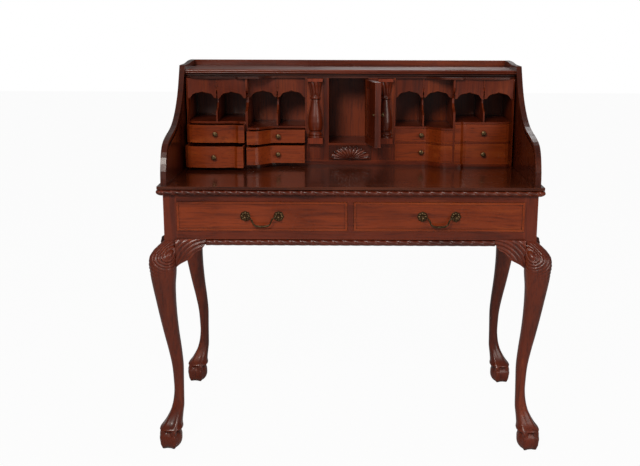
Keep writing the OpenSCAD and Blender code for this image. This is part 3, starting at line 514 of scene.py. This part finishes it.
# ---------------------------------------------------------------- handles
WIDE_MID, BAIL_Z, SPAN = 0.24675, 0.6895, 0.093
for name, sx in (("left", -1), ("right", 1)):
    body = f"wide_drawer_{name}_body"
    plates = Shell()
    for s in (-1, 1):
        cx, cz = sx * WIDE_MID + s * SPAN / 2, BAIL_Z
        r = np.linspace(0.0, 1, 22)
        a = np.linspace(0, 2 * np.pi, 96, endpoint=False)
        petal = 0.90 + 0.10 * np.abs(np.cos(4 * a))
        dome = 0.0030 * (0.35 + 0.65 * np.abs(np.cos(4 * a)) ** 0.6)[None, :] * np.sin(
            np.pi * np.clip((r[:, None] - 0.30) / 0.66, 0, 1)) + 0.0022 * (1 - r[:, None] ** 4)
        dome = dome + 0.0032 * bump(r[:, None], 0.20, 0.10)
        rad = 0.015 * r[:, None] * petal[None, :]
        y = 0.001 - MID_Y - dome
        rings = np.stack([cx + rad * np.cos(a), y, cz + rad * np.sin(a)], -1)
        rim = rings[-1:].copy()
        rim[..., 1] = 0.0015 - MID_Y
        plates.skin(np.concatenate([rings, rim])[:, ::-1])
        t = np.array([0.0, 4, 6, 8, 10, 12, 14.2, 17, 19, 20.4, 21])
        q = np.array([5.2, 4.6, 3.6, 3.4, 4.4, 5.2, 5.4, 5.0, 3.6, 1.8, 0.2])
        b = np.linspace(0, 2 * np.pi, 28, endpoint=False)
        post = np.stack([cx + q[:, None] * MM * np.cos(b),
                         np.broadcast_to((-t * MM - MID_Y)[:, None], (len(t), len(b))),
                         cz + q[:, None] * MM * np.sin(b)], -1)
        plates.skin(post)
    plates.make(f"rosettes_{name}_cast", BRONZE, body, replaces=[f"rosettes_{name}"],
                slot="bronze", angle=60)
    half, drop = SPAN / 2 - 0.0084, 0.026
    line = np.array([[1, 0.0, 1.0], [0.9, -0.05, 1.0], [0.8, -0.17, 1.05], [0.72, -0.33, 1.1],
                     [0.67, -0.52, 1.1], [0.62, -0.71, 1.0], [0.54, -0.85, 1.1],
                     [0.4, -0.94, 1.3], [0.22, -0.985, 1.5], [0.08, -1.0, 1.4],
                     [0.0, -1.0, 1.7]])
    full = np.concatenate([line * (-1, 1, 1), line[-2::-1]])
    knots = np.linspace(0, 1, len(full))
    t = np.linspace(0, 1, 120)
    px, pz, pr = (smooth_curve(t, knots, full[:, i]) for i in range(3))
    path = np.stack([sx * WIDE_MID + px * half, np.full_like(t, -0.015 - MID_Y),
                     BAIL_Z + pz * drop], -1)
    pull = Shell().tube(path, pr * 0.0021, sides=16, up=(0, 1, 0))
    for s in (-1, 1):
        x0 = sx * WIDE_MID + s * half
        along = np.linspace(-0.0022, 0.009, 10)
        rad = np.where(along < 0.003, 0.0032, 0.0015)
        pull.tube(np.stack([x0 + s * along, np.full(10, -0.015 - MID_Y), np.full(10, BAIL_Z)], -1),
                  rad, sides=16)
    pull.make(f"bail_{name}_cast", BRONZE, f"bail_{name}_body", replaces=[f"bail_{name}"],
              slot="bronze", angle=60)

# ---------------------------------------------------------------- shell on the drawer under the door
lo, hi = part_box("shell_drawer")
cx, front_y = 0.0, 0.378 - MID_Y - 0.001
base_z, top_z = lo[2] + 0.003, hi[2] - 0.002
ribs, rows, cols = 13, 30, 13 * 14 + 1
a = np.linspace(0.0, np.pi, cols)
rr = np.linspace(0.0, 1.0, rows)
scallop = 0.95 + 0.05 * np.abs(np.sin(ribs * a))
xr, zr = 0.0655 * scallop, (top_z - base_z - 0.001) * scallop
rib = np.abs(np.sin(ribs * a))[None, :] ** 0.6
height = (0.0008 + 0.0062 * np.sin(np.pi * np.clip(rr, 0, 1) ** 0.8)[:, None] ** 0.7
          * (0.45 + 0.55 * rib) + 0.006 * bump(rr[:, None], 0.06, 0.09))
height[-1] = -0.001
pts = np.stack([cx + rr[:, None] * xr * np.cos(a), front_y - height,
                base_z + rr[:, None] * zr * np.sin(a)], -1)
fan = Shell().skin(pts, caps=False, closed=False)
fan.make("fan_shell_carving", WOOD["carved"], "shell_drawer_body", slot="mahogany")

# ---------------------------------------------------------------- half columns
for name, sx in (("left", -1), ("right", 1)):
    lo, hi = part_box(f"column_{name}")
    z0, h = lo[2], hi[2] - lo[2]
    xa, xb = lo[0], hi[0]
    cx, cy, r0 = (xa + xb) / 2, hi[1], 0.023
    prof = np.array([[0.090, 0.98], [0.105, 1.0], [0.12, 0.86], [0.145, 0.97], [0.17, 0.86],
                     [0.19, 0.74], [0.21, 0.90], [0.27, 0.99], [0.33, 1.0], [0.42, 0.93],
                     [0.52, 0.76], [0.62, 0.58], [0.68, 0.50], [0.69, 0.70], [0.71, 0.70],
                     [0.73, 0.58], [0.78, 0.70], [0.86, 0.82], [0.91, 0.94], [0.955, 1.0]])
    t = np.linspace(0.09, 0.955, 130)
    rad = np.interp(t, prof[:, 0], prof[:, 1])[:, None]
    a = np.linspace(np.pi, 2 * np.pi, 97)
    leaf = np.clip((t - 0.735) / 0.03, 0, 1)
    tip = np.abs(np.sin(4 * a[None, :] + 3.2 * np.sin(6 * t[:, None])))
    rad = rad * (1 - 0.20 * leaf[:, None] * (1 - tip**0.5))
    rad = np.minimum(rad, 1.0)
    pts = np.stack([cx + r0 * rad * np.cos(a), cy + r0 * rad * np.sin(a),
                    np.broadcast_to((z0 + t * h)[:, None], rad.shape)], -1)
    col = Shell().skin(pts)
    for zz0, zz1 in ((0.0, 0.09), (0.955, 1.0)):
        col.skin(box_rings(xa, xb, cy - r0, cy, z0 + zz0 * h, z0 + zz1 * h))
    col.make(f"column_{name}_carved", WOOD["leg"], f"slide_{name}_body",
             replaces=[f"column_{name}"], slot="mahogany", angle=60)

# ---------------------------------------------------------------- stage, light, camera
def plain(name, colour, camera_share):
    n = Nodes(name)
    n.bsdf.inputs["Base Color"].default_value = (*colour, 1)
    n.bsdf.inputs["Roughness"].default_value = 0.85
    rays = n.add("ShaderNodeLightPath")
    glow = n.add("ShaderNodeEmission", {"Color": (1, 1, 1, 1), "Strength": 1.0})
    part = n.add("ShaderNodeMath", operation="MULTIPLY")
    part.inputs[1].default_value = camera_share
    n.join(rays, "Is Camera Ray", part, 0)
    mix = n.add("ShaderNodeMixShader")
    n.join(part, "Value", mix, "Fac")
    n.tree.links.new(n.bsdf.outputs["BSDF"], mix.inputs[1])
    n.tree.links.new(glow.outputs["Emission"], mix.inputs[2])
    n.join(mix, "Shader", n.out, "Surface")
    return n.mat


ground = bpy.data.meshes.new("ground")
ground.from_pydata([(-12, -12, 0), (12, -12, 0), (12, 12, 0), (-12, 12, 0)], [], [(0, 1, 2, 3)])
ground_obj = bpy.data.objects.new("ground", ground)
bpy.context.scene.collection.objects.link(ground_obj)
ground_obj.data.materials.append(plain("pale_floor", (0.6, 0.6, 0.6), 0.96))

world = bpy.data.worlds.new("studio")
bpy.context.scene.world = world
world.use_nodes = True
wt = world.node_tree
wt.nodes.clear()
w_out = wt.nodes.new("ShaderNodeOutputWorld")
w_mix = wt.nodes.new("ShaderNodeMixShader")
w_cam = wt.nodes.new("ShaderNodeBackground")
w_lit = wt.nodes.new("ShaderNodeBackground")
w_rays = wt.nodes.new("ShaderNodeLightPath")
w_cam.inputs["Color"].default_value = (1, 1, 1, 1)
w_cam.inputs["Strength"].default_value = 1.0
w_lit.inputs["Color"].default_value = (1.0, 0.985, 0.96, 1)
w_lit.inputs["Strength"].default_value = 0.22
wt.links.new(w_rays.outputs["Is Camera Ray"], w_mix.inputs["Fac"])
wt.links.new(w_lit.outputs[0], w_mix.inputs[1])
wt.links.new(w_cam.outputs[0], w_mix.inputs[2])
wt.links.new(w_mix.outputs[0], w_out.inputs["Surface"])


def lamp(name, place, aim, size, power, colour=(1, 1, 1)):
    data = bpy.data.lights.new(name, "AREA")
    data.shape, data.size, data.energy, data.color = "DISK", size, power, colour
    obj = bpy.data.objects.new(name, data)
    bpy.context.scene.collection.objects.link(obj)
    obj.location = place
    d = np.array(aim, float) - np.array(place, float)
    yaw = math.atan2(-d[0], d[1])
    pitch = math.atan2(math.hypot(d[0], d[1]), -d[2])
    obj.rotation_euler = (pitch, 0, yaw)
    return obj


lamp("key", (-0.9, -2.9, 2.6), (0, 0, 0.75), 1.1, 66, (1.0, 0.95, 0.88))
lamp("fill", (2.0, -2.4, 1.6), (0, 0, 0.6), 1.4, 24, (1.0, 0.95, 0.88))
lamp("back", (0.4, 2.6, 2.6), (0, 0, 0.8), 1.6, 18)

cam_data = bpy.data.cameras.new("view")
cam = bpy.data.objects.new("view", cam_data)
bpy.context.scene.collection.objects.link(cam)
cam.location = (-0.018, -2.6194 - MID_Y, 1.2537)
turn = Matrix.Rotation(math.pi / 2 - 0.22914, 4, "X") @ Matrix.Rotation(0.00373, 4, "Z")
cam.rotation_euler = turn.to_euler()
cam_data.sensor_width = 36
cam_data.lens = 54.12
cam_data.shift_x = -0.0376
bpy.context.scene.camera = cam
bpy.context.scene.view_settings.view_transform = "Standard"
